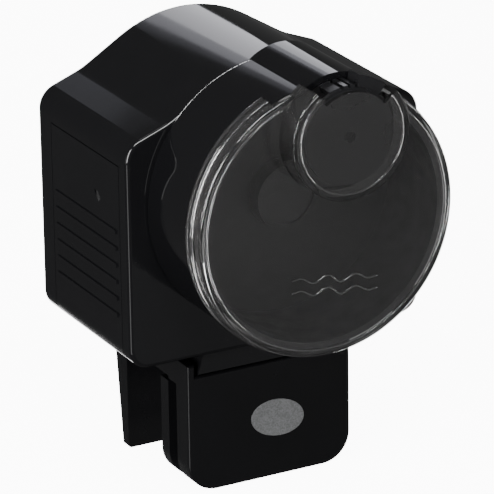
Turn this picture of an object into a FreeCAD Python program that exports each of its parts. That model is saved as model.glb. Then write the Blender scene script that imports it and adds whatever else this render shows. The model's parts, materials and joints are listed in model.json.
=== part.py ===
import FreeCAD, Part
import math
import os
import Sketcher

# Automatic fish feeder: a battery housing that turns a food drum once per meal, on a clamp
# for the rim of a tank. Millimetres, X to the right, Y to the back, Z up. The parts are drawn
# about the drum's axis, which lies along Y, with y = 0 at the front face of the housing; the
# drum parts are drawn with their measuring cup straight up. Each part's Placement then puts
# the origin of the model in the middle of the rim seat, behind the clamp's front jaw.

SIZES = [
    # housing
    ("case_left", 45.3, "drum axis to the left side of the housing"),
    ("case_right", 47.3, "drum axis to the right side of the housing"),
    ("arch_centre", 1.0, "middle of the arch to the right of the drum axis"),
    ("bottom_drop", 46.6, "drum axis down to the underside of the housing"),
    ("case_depth", 56.3, "front face to rear face"),
    ("arch_radius", 38.0, "radius of the arched top"),
    ("shoulder_reach", 34.6, "middle of the arch square to the slope of a shoulder"),
    ("shoulder_round", 7.0, "outer corner of a shoulder"),
    ("arch_blend", 22.0, "hollow between a shoulder and the ramp of the arch"),
    ("foot_round", 6.0, "lower corners of the housing"),
    ("case_wall", 2.0, "wall of the housing shells"),
    ("seam_depth", 3.4, "depth of the front shell"),
    ("front_edge", 1.2, "rounding of the front edge"),
    ("rear_edge", 2.0, "rounding of the rear edge"),
    # battery bay on the left side
    ("door_front", 5.0, "front edge of the battery door"),
    ("door_back", 47.2, "rear edge of the battery door"),
    ("door_top", 12.6, "upper edge of the battery door"),
    ("door_gap", 0.3, "play round the battery door"),
    ("rib_first", 7.2, "highest rib below the drum axis"),
    ("rib_step", 4.96, "distance from rib to rib"),
    ("rib_height", 0.4, "how far a rib stands out"),
    ("rib_width", 1.1, "width of a rib"),
    ("rib_start", 7.0, "front ends of the ribs"),
    ("rib_end", 45.2, "rear ends of the ribs"),
    ("cell_radius", 7.2, "radius of an AA cell"),
    ("cell_length", 49.2, "length of an AA cell without its nub"),
    ("cell_bottom", 40.0, "flat end of the cells below the drum axis"),
    ("cell_centre", 35.2, "cells to the left of the drum axis"),
    ("cell_front", 14.6, "depth of the front cell"),
    ("cell_back", 30.4, "depth of the rear cell"),
    ("tray_wall", 1.2, "wall of the battery tray"),
    # drum
    ("drum_radius", 39.5, "outer radius of the drum"),
    ("drum_wall", 2.0, "wall of the drum"),
    ("drum_back", 2.6, "thickness of the drum's rear wall"),
    ("drum_edge", 0.9, "rounding of the drum's rear edge"),
    ("drum_play", 0.4, "gap between housing and drum"),
    ("drum_front", 24.0, "front edge of the full drum wall"),
    ("spigot_front", 29.6, "front edge of the lid's seat on the drum"),
    ("spigot_radius", 37.5, "outer radius of the lid's seat"),
    ("cup_offset", 26.26, "drum axis to the axis of the measuring cup"),
    ("channel_radius", 16.3, "outer radius of the dosing channel"),
    ("channel_wall", 1.9, "wall of the dosing channel"),
    ("channel_front", 31.2, "front edge of the dosing channel"),
    ("hub_radius", 9.6, "radius of the boss inside the drum"),
    ("hub_front", 8.0, "front face of the boss"),
    ("notch_angle", 61.0, "angle of the drum's flush pad"),
    ("rest_turn", 7.1, "angle the drum stands at, clockwise from the front"),
    # lid
    ("lid_radius", 40.0, "outer radius of the lid's skirt"),
    ("lid_front", 31.9, "front face of the lid"),
    ("lid_disc", 1.7, "thickness of the lid's disc"),
    ("lid_back", 24.3, "rear edge of the skirt"),
    ("skirt_bore", 37.8, "inner radius of the skirt"),
    ("skirt_step", 28.6, "depth of the step on the skirt"),
    ("lid_edge", 0.9, "rounding of the lid's front edge"),
    ("skirt_edge", 0.3, "rounding of the skirt's other edges"),
    ("cup_edge", 0.7, "rounding of the cup's front edge"),
    ("cup_radius", 18.1, "outer radius of the measuring cup"),
    ("cup_bore", 16.6, "inner radius of the measuring cup"),
    ("cup_front", 40.0, "front face of the measuring cup"),
    ("cup_face", 1.5, "thickness of the cup's front"),
    ("mouth_angle", 88.0, "angle of the cup's mouth"),
    ("mouth_floor", 13.0, "radius left of the cup's front in the mouth"),
    # shutter
    ("shutter_radius", 14.6, "radius of the shutter's grip"),
    ("shutter_wall", 2.2, "thickness of the shutter's wall"),
    ("shutter_tab", 17.2, "radius of the finger tab"),
    ("shutter_back", 31.6, "rear edge of the shutter"),
    ("shutter_front", 38.1, "front face of the shutter"),
    ("pivot_radius", 1.6, "pivot pin inside the lid"),
    # drive
    ("gear_module", 0.8, "module of the gear pair"),
    ("wheel_teeth", 48.0, "teeth of the drum gear"),
    ("pinion_teeth", 12.0, "teeth of the motor pinion"),
    ("gear_front", 11.0, "front face of the drum gear"),
    ("gear_width", 5.0, "width of the drum gear"),
    ("shaft_radius", 3.0, "radius of the drum shaft"),
    ("shaft_back", 27.0, "rear end of the drum shaft"),
    ("running_gap", 0.05, "radial play of a shaft in its bearing"),
    ("plate_front", 19.5, "front face of the gear plate"),
    ("plate_width", 2.5, "thickness of the gear plate"),
    ("motor_x", 14.4, "motor to the right of the drum axis"),
    ("motor_drop", 19.2, "motor below the drum axis"),
    ("motor_shaft", 1.5, "radius of the motor's shaft"),
    # electronics on the rear wall
    ("board_front", 46.3, "front face of the circuit board"),
    ("board_width", 1.6, "thickness of the circuit board"),
    ("panel_x", 5.0, "middle of the display to the right of the axis"),
    ("display_rise", 9.6, "middle of the display above the axis"),
    ("button_drop", 3.6, "button row below the axis"),
    ("button_step", 11.0, "distance from button to button"),
    ("button_radius", 2.9, "radius of a button"),
    ("button_play", 0.3, "gap round a button"),
    ("button_travel", 0.6, "travel of a button"),
    # slide rail
    ("rail_half", 20.3, "half the width of the rail at its root"),
    ("rail_flare", 2.3, "how much wider the rail is at its foot"),
    ("rail_height", 6.8, "height of the rail"),
    ("rail_back", 44.4, "rear end of the rail"),
    ("rail_play", 0.3, "gap between the rail and its channel"),
    # clamp
    ("jaw_half", 26.2, "half the width of the clamp"),
    ("jaw_front", 2.9, "front face of the front jaw"),
    ("jaw_width", 7.2, "thickness of the front jaw"),
    ("jaw_bottom", 89.6, "drum axis down to the foot of the jaws"),
    ("jaw_round", 9.0, "lower corners of the front jaw and the pressure plate"),
    ("jaw_top", 50.2, "drum axis down to the top of the front jaw"),
    ("jaw_notch", 23.7, "half the width of the notch in the front jaw"),
    ("notch_floor", 53.9, "drum axis down to the floor of that notch"),
    ("bridge_top", 47.1, "drum axis down to the top of the bridge"),
    ("bridge_seat", 57.8, "drum axis down to the rim seat"),
    ("seat_rise", 0.8, "how far the rim seat stands below the rest of the bridge"),
    ("rear_jaw", 41.5, "inner face of the rear jaw"),
    ("rear_jaw_back", 48.8, "outer face of the rear jaw at its top"),
    ("rear_jaw_tip", 44.8, "outer face of the rear jaw at its foot"),
    ("plate_gap", 5.0, "gap between front jaw and pressure plate"),
    ("plate_depth", 4.7, "thickness of the pressure plate"),
    ("screw_drop", 72.5, "drum axis down to the clamp screw"),
    ("screw_radius", 3.0, "radius of the clamp screw"),
    ("knob_radius", 11.0, "radius of the clamp knob"),
    ("knob_front", 52.6, "front face of the clamp knob"),
    ("knob_back", 62.4, "rear face of the clamp knob"),
]

os.makedirs("parts", exist_ok=True)
doc = FreeCAD.newDocument("feeder")
sheet = doc.addObject("Spreadsheet::Sheet", "dims")
for row, (alias, number, note) in enumerate(SIZES, start=1):
    sheet.set(f"A{row}", note)
    sheet.set(f"B{row}", str(number))
    sheet.setAlias(f"B{row}", alias)
doc.recompute()


class Size:
    """A length with the sheet expression that drives it and the number it has now."""

    def __init__(self, text, number):
        self.text = text
        self.number = number

    @staticmethod
    def of(other):
        if isinstance(other, Size):
            return other
        return Size(repr(float(other)), float(other))

    def __add__(self, other):
        other = Size.of(other)
        return Size(f"({self.text} + {other.text})", self.number + other.number)

    def __sub__(self, other):
        other = Size.of(other)
        return Size(f"({self.text} - {other.text})", self.number - other.number)

    def __mul__(self, other):
        other = Size.of(other)
        return Size(f"({self.text} * {other.text})", self.number * other.number)

    def __neg__(self):
        return Size(f"(-1 * {self.text})", -self.number)

    def __radd__(self, other):
        return Size.of(other) + self

    def __rsub__(self, other):
        return Size.of(other) - self


class Sheet:
    """Reads an alias of the sheet as a Size: D.case_wall."""

    def __getattr__(self, alias):
        return Size(f"dims.{alias}", float(sheet.get(alias)))


D = Sheet()
ZERO = Size.of(0)
X_AXIS = FreeCAD.Vector(1, 0, 0)
Y_AXIS = FreeCAD.Vector(0, 1, 0)
Z_AXIS = FreeCAD.Vector(0, 0, 1)
ALONG = {
    "X": FreeCAD.Rotation(Y_AXIS, 90),
    "Y": FreeCAD.Rotation(X_AXIS, -90),
    "Z": FreeCAD.Rotation(),
}
serial = {"count": 0}


def unique(kind):
    serial["count"] += 1
    return f"{kind}_{serial['count']:03d}"


def bind(obj, prop, length):
    """Ties one property of an object to its sheet expression."""
    obj.setExpression(prop, Size.of(length).text)


def put(obj, x, y, z):
    for letter, length in zip("xyz", (x, y, z)):
        bind(obj, f"Placement.Base.{letter}", length)


# ---------------------------------------------------------------- plain solids

def box(x0, x1, y0, y1, z0, z1):
    """A block between two corners."""
    block = doc.addObject("Part::Box", unique("box"))
    low = [Size.of(v) for v in (x0, y0, z0)]
    high = [Size.of(v) for v in (x1, y1, z1)]
    for prop, start, end in zip(("Length", "Width", "Height"), low, high):
        bind(block, prop, end - start)
    put(block, *low)
    return block


def rod(radius, start, end, at=(0, 0), axis="Y", angle=360.0, first=-180.0):
    """A cylinder along an axis, or the slice of one that begins at `first` degrees from the
    top and opens clockwise as seen from the front."""
    solid = doc.addObject("Part::Cylinder", unique("rod"))
    bind(solid, "Radius", radius)
    bind(solid, "Height", Size.of(end) - Size.of(start))
    bind(solid, "Angle", angle)
    turn = FreeCAD.Rotation()
    if Size.of(angle).number < 360:
        turn = FreeCAD.Rotation(Y_AXIS, first - 90)
    solid.Placement = FreeCAD.Placement(FreeCAD.Vector(), turn.multiply(ALONG[axis]))
    low = Size.of(start)
    across, up = (Size.of(v) for v in at)
    spots = {"X": (low, across, up), "Y": (across, low, up), "Z": (across, up, low)}
    put(solid, *spots[axis])
    return solid


def hexagon(across_flats, start, end, at=(0, 0)):
    """A hexagonal prism along Y with its flats up and down."""
    solid = doc.addObject("Part::Prism", unique("hexagon"))
    solid.Polygon = 6
    bind(solid, "Circumradius", Size.of(across_flats) * (1 / math.sqrt(3)))
    bind(solid, "Height", Size.of(end) - Size.of(start))
    solid.Placement = FreeCAD.Placement(FreeCAD.Vector(), ALONG["Y"])
    put(solid, at[0], start, at[1])
    return solid


def fuse(*solids):
    joined = doc.addObject("Part::MultiFuse", unique("fuse"))
    joined.Shapes = list(solids)
    joined.Refine = True
    return joined


def cut(base, *tools):
    result = doc.addObject("Part::Cut", unique("cut"))
    result.Base = base
    result.Tool = tools[0] if len(tools) == 1 else fuse(*tools)
    result.Refine = True
    return result


def common(one, other):
    result = doc.addObject("Part::Common", unique("common"))
    result.Base = one
    result.Tool = other
    return result


def group(*solids):
    """Separate solids that share one node."""
    result = doc.addObject("Part::Compound", unique("group"))
    result.Links = list(solids)
    return result


# ---------------------------------------------------------------- sketched bodies

PLANES = {"front": "XZ_Plane", "plan": "XY_Plane", "side": "YZ_Plane"}


def new_body():
    return doc.addObject("PartDesign::Body", unique("body"))


def new_sketch(body, view, offset):
    """An empty sketch on one of the body's own planes, `offset` along the plane's normal."""
    sketch = body.newObject("Sketcher::SketchObject", unique("sketch"))
    role = PLANES[view]
    plane = next(f for f in body.Origin.OriginFeatures if f.Role == role)
    sketch.AttachmentSupport = (plane, [""])
    sketch.MapMode = "FlatFace"
    bind(sketch, "AttachmentOffset.Base.z", offset)
    return sketch


def pin_point(sketch, index, point, corner):
    """Holds one point of a sketch at a corner given as two Sizes."""
    for kind, length in zip(("DistanceX", "DistanceY"), corner):
        length = Size.of(length)
        if abs(length.number) < 1e-9:
            where = "PointOnObject"
            line = -2 if kind == "DistanceX" else -1
            sketch.addConstraint(Sketcher.Constraint(where, index, point, line))
            continue
        ends = (-1, 1, index, point)
        if length.number < 0:
            ends = (index, point, -1, 1)
            length = -length
        number = sketch.addConstraint(Sketcher.Constraint(kind, *ends, length.number))
        sketch.setExpression(f"Constraints[{number}]", length.text)


def draw_outline(sketch, corners, arch=None):
    """A closed outline through the corners, counterclockwise. The side that starts at corner
    number `arch` is an arc with its centre at the height of the sketch's origin."""
    spots = [FreeCAD.Vector(*(Size.of(v).number for v in corner), 0) for corner in corners]
    total = len(corners)
    for i in range(total):
        start, end = spots[i], spots[(i + 1) % total]
        if i == arch:
            middle = FreeCAD.Vector((start.x + end.x) / 2, 0, 0)
            first = math.atan2(start.y, start.x - middle.x)
            circle = Part.Circle(middle, Z_AXIS, (start - middle).Length)
            sketch.addGeometry(Part.ArcOfCircle(circle, first, math.pi - first))
        else:
            sketch.addGeometry(Part.LineSegment(start, end))
    for i in range(total):
        sketch.addConstraint(Sketcher.Constraint("Coincident", i, 2, (i + 1) % total, 1))
    for i, corner in enumerate(corners):
        pin_point(sketch, i, 1, corner)
    if arch is not None:
        sketch.addConstraint(Sketcher.Constraint("PointOnObject", arch, 3, -1))


def draw_circle(sketch, radius, centre=(0, 0)):
    middle = FreeCAD.Vector(*(Size.of(v).number for v in centre), 0)
    index = sketch.addGeometry(Part.Circle(middle, Z_AXIS, radius.number))
    pin_point(sketch, index, 3, centre)
    number = sketch.addConstraint(Sketcher.Constraint("Radius", index, radius.number))
    sketch.setExpression(f"Constraints[{number}]", radius.text)


def pad(body, view, low, high, corners=None, circle=None, arch=None):
    """Adds material between two stations along the view's axis."""
    low, high = Size.of(low), Size.of(high)
    # the front plane's normal points to the front, so its stations run backwards
    offset = -high if view == "front" else low
    sketch = new_sketch(body, view, offset)
    if corners:
        draw_outline(sketch, corners, arch)
    else:
        draw_circle(sketch, *circle)
    feature = body.newObject("PartDesign::Pad", unique("pad"))
    feature.Profile = sketch
    bind(feature, "Length", high - low)
    body.Tip = feature
    doc.recompute()
    return feature


def pocket(body, view, low, high, corners=None, circle=None):
    """Takes material away between two stations along the view's axis."""
    low, high = Size.of(low), Size.of(high)
    before = body.Shape.Volume
    offset = -low if view == "front" else high
    sketch = new_sketch(body, view, offset)
    if corners:
        draw_outline(sketch, corners)
    else:
        draw_circle(sketch, *circle)
    feature = body.newObject("PartDesign::Pocket", unique("pocket"))
    feature.Profile = sketch
    bind(feature, "Length", high - low)
    body.Tip = feature
    doc.recompute()
    if body.Shape.Volume > before - 1e-3:
        raise RuntimeError(f"{feature.Name} cuts nothing")
    return feature


def turned(corners, axis="Y", at=(0, 0)):
    """A turned piece: corners are (radius, station) pairs round an axis along Y or Z."""
    body = new_body()
    view = "plan" if axis == "Y" else "front"
    offset = at[1] if axis == "Y" else -Size.of(at[1])
    sketch = new_sketch(body, view, offset)
    centre = Size.of(at[0])
    draw_outline(sketch, [(centre + Size.of(r), station) for r, station in corners])
    feature = body.newObject("PartDesign::Revolution", unique("turn"))
    feature.Profile = sketch
    if abs(centre.number) > 1e-9:
        start = FreeCAD.Vector(centre.number, -1, 0)
        end = FreeCAD.Vector(centre.number, 1, 0)
        index = sketch.addGeometry(Part.LineSegment(start, end), True)
        pin_point(sketch, index, 1, (centre, -1))
        pin_point(sketch, index, 2, (centre, 1))
        feature.ReferenceAxis = (sketch, ["Axis0"])
    else:
        feature.ReferenceAxis = (sketch, ["V_Axis"])
    feature.Angle = 360
    body.Tip = feature
    doc.recompute()
    return body


def soften(body, radius, chosen):
    """Rounds every edge of the body that `chosen` picks out."""
    names = [f"Edge{i}" for i, edge in enumerate(body.Shape.Edges, start=1) if chosen(edge)]
    if not names:
        raise RuntimeError("no edge to soften")
    base = body.Tip
    feature = body.newObject("PartDesign::Fillet", unique("fillet"))
    feature.Base = (base, names)
    bind(feature, "Radius", radius)
    body.Tip = feature
    doc.recompute()
    return feature


def runs_along(axis, **spot):
    """Picks straight edges along an axis whose middle has the given coordinates."""
    def chosen(edge):
        if edge.Curve.TypeId != "Part::GeomLine":
            return False
        if abs(abs(edge.Curve.Direction.dot(axis)) - 1) > 1e-6:
            return False
        middle = edge.CenterOfMass
        return all(abs(getattr(middle, k) - v) < 0.05 for k, v in spot.items())
    return chosen


def lies_on(coordinate, value):
    """Picks edges that lie wholly at one value of x, y or z."""
    def chosen(edge):
        bounds = edge.BoundBox
        low = getattr(bounds, f"{coordinate.upper()}Min")
        high = getattr(bounds, f"{coordinate.upper()}Max")
        return abs(low - value) < 0.01 and abs(high - value) < 0.01
    return chosen


def is_ring(radius, station):
    """Picks a whole circle about the Y axis by its radius and its place on the axis."""
    def chosen(edge):
        if edge.Curve.TypeId != "Part::GeomCircle":
            return False
        return lies_on("y", station)(edge) and abs(edge.Curve.Radius - radius) < 0.01
    return chosen


nodes = []


def node(label, solid, turns=False):
    """Names a finished piece; `turns` marks those drawn in the drum's own position."""
    solid.Label = label
    nodes.append((solid, turns))
    return solid


# ---------------------------------------------------------------- housing shells

RAMP = math.radians(31.5)        # slope of the straight flanks of the arch
SHOULDER = math.radians(20.85)   # slope of the shoulders


def case_block(inset, front, back, front_edge=None, rear_edge=None):
    """The housing's outline as a solid block, `inset` inside its outer surface."""
    inset = Size.of(inset)
    left = -D.case_left + inset
    right = D.case_right - inset
    low = -(D.bottom_drop - inset)
    arch = D.arch_radius - inset
    reach = D.shoulder_reach - inset
    # heights and half widths from the middle of the arch, where ramp and shoulder lines cross
    spread = math.sin(RAMP - SHOULDER)
    cross_x = (arch * math.cos(SHOULDER) - reach * math.cos(RAMP)) * (1 / spread)
    cross_z = (reach * math.sin(RAMP) - arch * math.sin(SHOULDER)) * (1 / spread)
    side = (D.case_left + D.case_right) * 0.5 - inset
    side_z = (reach - side * math.sin(SHOULDER)) * (1 / math.cos(SHOULDER))
    tangent_x, tangent_z = arch * math.sin(RAMP), arch * math.cos(RAMP)
    middle = D.arch_centre
    corners = [(left, low), (right, low), (right, side_z), (middle + cross_x, cross_z),
               (middle + tangent_x, tangent_z), (middle - tangent_x, tangent_z),
               (middle - cross_x, cross_z), (left, side_z)]
    body = new_body()
    pad(body, "front", front, back, corners, arch=4)

    def at_corners(*numbers):
        spots = [[Size.of(v).number for v in corners[i]] for i in numbers]

        def chosen(edge):
            return any(runs_along(Y_AXIS, x=x, z=z)(edge) for x, z in spots)
        return chosen

    soften(body, D.arch_blend + inset, at_corners(3, 6))
    soften(body, D.shoulder_round - inset, at_corners(2, 7))
    soften(body, D.foot_round - inset, at_corners(0, 1))
    if front_edge is not None:
        soften(body, front_edge, lies_on("y", Size.of(front).number))
    if rear_edge is not None:
        soften(body, rear_edge, lies_on("y", Size.of(back).number))
    return body


# posts for the gear plate and the long columns for the case screws, as (x, z)
PLATE_POSTS = [(-18, -17), (-18.5, 15.8), (24, 12), (25, -22)]
CASE_COLUMNS = [(-21.6, -38.6), (38.7, -38.6), (38.7, 11), (-21.5, 22.5)]
BOARD_POSTS = [(-17.4, 16.2), (27.4, 16.2), (-17.4, -7.4), (27.4, -7.4)]
COLUMN_SPLIT = 14.0      # where the front bosses meet the rear columns
COLUMN_RADIUS = 3.6
SCREW_SEAT = 18.0        # depth at which the case screws' heads sit
BEARING_BACK = 9.0       # rear end of the front bearing boss
BUTTON_COUNT = 4
SWITCH_HEIGHT = 2.2


def button_x(i):
    return D.panel_x + D.button_step * (i - (BUTTON_COUNT - 1) / 2)


def make_front_shell():
    outer = case_block(0, 0, D.seam_depth, front_edge=D.front_edge)
    inner = case_block(D.case_wall, D.case_wall, D.seam_depth + 1)
    shell = cut(outer, inner)
    solids = [shell, rod(7.0, 1, BEARING_BACK)]
    solids += [rod(3.0, 1, D.plate_front, at) for at in PLATE_POSTS]
    solids += [rod(COLUMN_RADIUS, 1, COLUMN_SPLIT, at) for at in CASE_COLUMNS]
    lip = cut(case_block(D.case_wall + 0.15, 1.0, D.seam_depth + 1.8),
              case_block(D.case_wall + 1.3, 0.5, D.seam_depth + 2.5))
    # the inner lip stops short of the battery bay
    lip = cut(lip, box(-60, -24, -1, 12, -60, 16))
    solids.append(lip)
    body = fuse(*solids)
    holes = [rod(4.5, -1, BEARING_BACK + 1)]
    holes += [rod(1.1, 8, D.plate_front + 1, at) for at in PLATE_POSTS]
    holes += [rod(1.25, 4, COLUMN_SPLIT + 1, at) for at in CASE_COLUMNS]
    node("front_shell", cut(body, *holes))


def door_slice(gap):
    """The block of the housing's left side that the battery door fills."""
    return box(-(D.case_left + 2), -(D.case_left - D.case_wall),
               D.door_front - gap, D.door_back + gap,
               -(D.bottom_drop + 1), D.door_top + gap)


def door_tongues():
    """Depths of the two tongues on the inside of the battery door."""
    return D.door_front + 1.8, D.door_back - 1.8


def tongue(depth, gap, low, high):
    """A tongue of the battery door, or the slot that it slides out through."""
    face = -(D.case_left - D.case_wall)
    return box(face - 0.3, face + 0.7 + gap, depth - 1.2 - gap, depth + 1.2 + gap, low, high)


def make_rear_shell():
    outer = case_block(0, D.seam_depth, D.case_depth, rear_edge=D.rear_edge)
    inner = case_block(D.case_wall, D.seam_depth - 1, D.case_depth - D.case_wall)
    shell = cut(outer, inner)
    solids = [shell]
    columns = [rod(COLUMN_RADIUS, COLUMN_SPLIT + 0.05, D.case_depth - 1, at) for at in CASE_COLUMNS]
    solids += columns
    solids += [rod(2.6, D.board_front + D.board_width, D.case_depth - 1, at) for at in BOARD_POSTS]
    root, foot = D.rail_half, D.rail_half + D.rail_flare
    top, low = -(D.bottom_drop - 0.5), -(D.bottom_drop + D.rail_height)
    rail = new_body()
    pad(rail, "front", D.seam_depth, D.rail_back,
        [(-foot, low), (foot, low), (root, top), (-root, top)])
    solids.append(rail)
    body = fuse(*solids)
    holes = [door_slice(D.door_gap)]
    holes += [tongue(y, D.door_gap, -(D.bottom_drop + 1), -36) for y in door_tongues()]
    holes += [rod(1.7, 1, D.case_depth + 1, at) for at in CASE_COLUMNS]
    holes += [rod(3.0, SCREW_SEAT, D.case_depth + 1, at) for at in CASE_COLUMNS]
    holes += [rod(0.9, D.board_front, D.case_depth - 2.4, at) for at in BOARD_POSTS]
    holes.append(box(D.panel_x - 15.2, D.panel_x + 15.2, D.case_depth - 3, D.case_depth + 1,
                     D.display_rise - 7.2, D.display_rise + 7.2))
    holes += [rod(D.button_radius + D.button_play, D.case_depth - 3, D.case_depth + 1,
                  (button_x(i), -D.button_drop)) for i in range(BUTTON_COUNT)]
    node("rear_shell", cut(body, *holes))


def make_battery_door():
    wall = cut(case_block(0, D.seam_depth, D.case_depth),
               case_block(D.case_wall - 0.2, D.seam_depth - 1, D.case_depth + 1))
    panel = common(wall, door_slice(ZERO))
    ribs = []
    for i in range(6):
        z = -(D.rib_first + D.rib_step * i)
        ribs.append(box(-(D.case_left + D.rib_height), -(D.case_left - 0.5),
                        D.rib_start, D.rib_end, z - D.rib_width * 0.5, z + D.rib_width * 0.5))
    # a small sunk arrow points the way the door slides
    arrow = new_body()
    tip_z = Size.of(-1.6)
    pad(arrow, "side", -(D.case_left + 0.5), -(D.case_left - 0.4),
        [(20.6, tip_z + 3), (17.8, tip_z), (15, tip_z + 3)])
    # tongues that run in the bay's edges
    tongues = [tongue(y, 0, -36, 8) for y in door_tongues()]
    node("battery_door", fuse(cut(panel, arrow), *ribs, *tongues))


def make_case_screws():
    screws = []
    for at in CASE_COLUMNS:
        shank = rod(1.25, 6, SCREW_SEAT, at)
        head = rod(2.6, SCREW_SEAT, SCREW_SEAT + 1.9, at)
        slots = [box(at[0] - 1.6, at[0] + 1.6, SCREW_SEAT + 1.0, SCREW_SEAT + 3,
                     at[1] - 0.35, at[1] + 0.35),
                 box(at[0] - 0.35, at[0] + 0.35, SCREW_SEAT + 1.0, SCREW_SEAT + 3,
                     at[1] - 1.6, at[1] + 1.6)]
        screws.append(cut(fuse(shank, head), *slots))
    node("case_screws", group(*screws))


# ---------------------------------------------------------------- battery bay

TRAY_TOP = 12.2
TRAY_RIGHT = -26.6
CELL_NUB = 1.2
SPRING_WIRE = 0.42       # radius of the contact springs' wire


def make_battery_bay():
    left = -(D.case_left - D.case_wall - 1.4)
    front = D.cell_front - D.cell_radius - 0.3
    back = D.cell_back + D.cell_radius + 0.3
    bottom = -(D.cell_bottom + 3.6)
    block = box(left, TRAY_RIGHT, front - D.tray_wall, back + D.tray_wall, bottom, TRAY_TOP)
    hollow = box(left - 1, TRAY_RIGHT - D.tray_wall, front, back,
                 bottom + D.tray_wall, TRAY_TOP - D.tray_wall)
    middle = (D.cell_front + D.cell_back) * 0.5
    rib = box(left + 6, TRAY_RIGHT, middle - 0.4, middle + 0.4, bottom, TRAY_TOP - 30)
    node("battery_tray", fuse(cut(block, hollow), rib))

    low = -D.cell_bottom
    high = low + D.cell_length
    for label, depth, flip in (("battery_front", D.cell_front, False),
                               ("battery_rear", D.cell_back, True)):
        ends = (high, low) if flip else (low, high)
        way = -1 if flip else 1
        profile = [(0, ends[0]), (D.cell_radius - 0.4, ends[0]),
                   (D.cell_radius, ends[0] + 0.5 * way), (D.cell_radius, ends[1] - 0.5 * way),
                   (D.cell_radius - 0.6, ends[1]), (2.7, ends[1]),
                   (2.7, ends[1] + CELL_NUB * way), (0, ends[1] + CELL_NUB * way)]
        node(label, turned(profile, axis="Z", at=(-D.cell_centre, depth)))

    plates = []
    for depth, z in ((D.cell_front, high + CELL_NUB), (D.cell_back, low - CELL_NUB - 0.5)):
        plates.append(box(-D.cell_centre - 5.5, -D.cell_centre + 5.5, depth - 5.5, depth + 5.5,
                          z, z + 0.5))
    node("battery_contacts", group(*plates))

    # each spring is a stack of rings, as tall as the room left at its cell's flat end
    springs = []
    for depth, start, radii in ((D.cell_front, bottom + D.tray_wall, (4.4, 3.7, 3.0)),
                                (D.cell_back, high, (3.0, 4.0))):
        rings = []
        for i, radius in enumerate(radii):
            ring = doc.addObject("Part::Torus", unique("ring"))
            bind(ring, "Radius1", radius)
            bind(ring, "Radius2", SPRING_WIRE)
            put(ring, -D.cell_centre, depth, start + SPRING_WIRE + 0.03 + 0.75 * i)
            rings.append(ring)
        springs.append(fuse(*rings))
    node("battery_springs", group(*springs))


# ---------------------------------------------------------------- drive

def involute_gear(teeth, face_start, face_width, bore, at, turn):
    """A spur gear along Y with true involute flanks and a little backlash."""
    module = D.gear_module.number
    pitch = module * teeth / 2
    base = pitch * math.cos(math.radians(20))
    tip = pitch + module
    root = pitch - 1.2 * module
    half_tooth = math.pi / (2 * teeth) - 0.06 / pitch
    flank_shift = math.tan(math.radians(20)) - math.radians(20)

    def flank(radius):
        """Half the angle of a tooth at a radius."""
        if radius <= base:
            return half_tooth + flank_shift
        roll = math.sqrt((radius / base) ** 2 - 1)
        return half_tooth + flank_shift - (roll - math.atan(roll))

    def spot(radius, angle):
        return FreeCAD.Vector(radius * math.sin(angle), 0, radius * math.cos(angle))

    edges = []
    start_radius = max(root, base)
    radii = [start_radius + (tip - start_radius) * k / 4 for k in range(5)]
    for i in range(teeth):
        middle = 2 * math.pi * i / teeth
        following = 2 * math.pi * (i + 1) / teeth
        rising = [spot(r, middle - flank(r)) for r in radii]
        falling = [spot(r, middle + flank(r)) for r in reversed(radii)]
        if root < base:
            rising.insert(0, spot(root, middle - flank(base)))
            falling.append(spot(root, middle + flank(base)))
        points = rising + falling
        edges += [Part.LineSegment(a, b).toShape() for a, b in zip(points, points[1:])]
        gap = (middle + following) / 2
        last = spot(root, following - flank(max(root, base)))
        edges.append(Part.Arc(points[-1], spot(root, gap), last).toShape())
    face = Part.Face(Part.Wire(Part.__sortEdges__(edges)))
    solid = face.extrude(FreeCAD.Vector(0, face_width, 0))
    hole = Part.makeCylinder(bore, face_width + 2, FreeCAD.Vector(0, -1, 0), Y_AXIS)
    solid = solid.cut(hole)
    solid.rotate(FreeCAD.Vector(), Y_AXIS, turn)
    solid.translate(FreeCAD.Vector(at[0], face_start, at[1]))
    return solid


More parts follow.
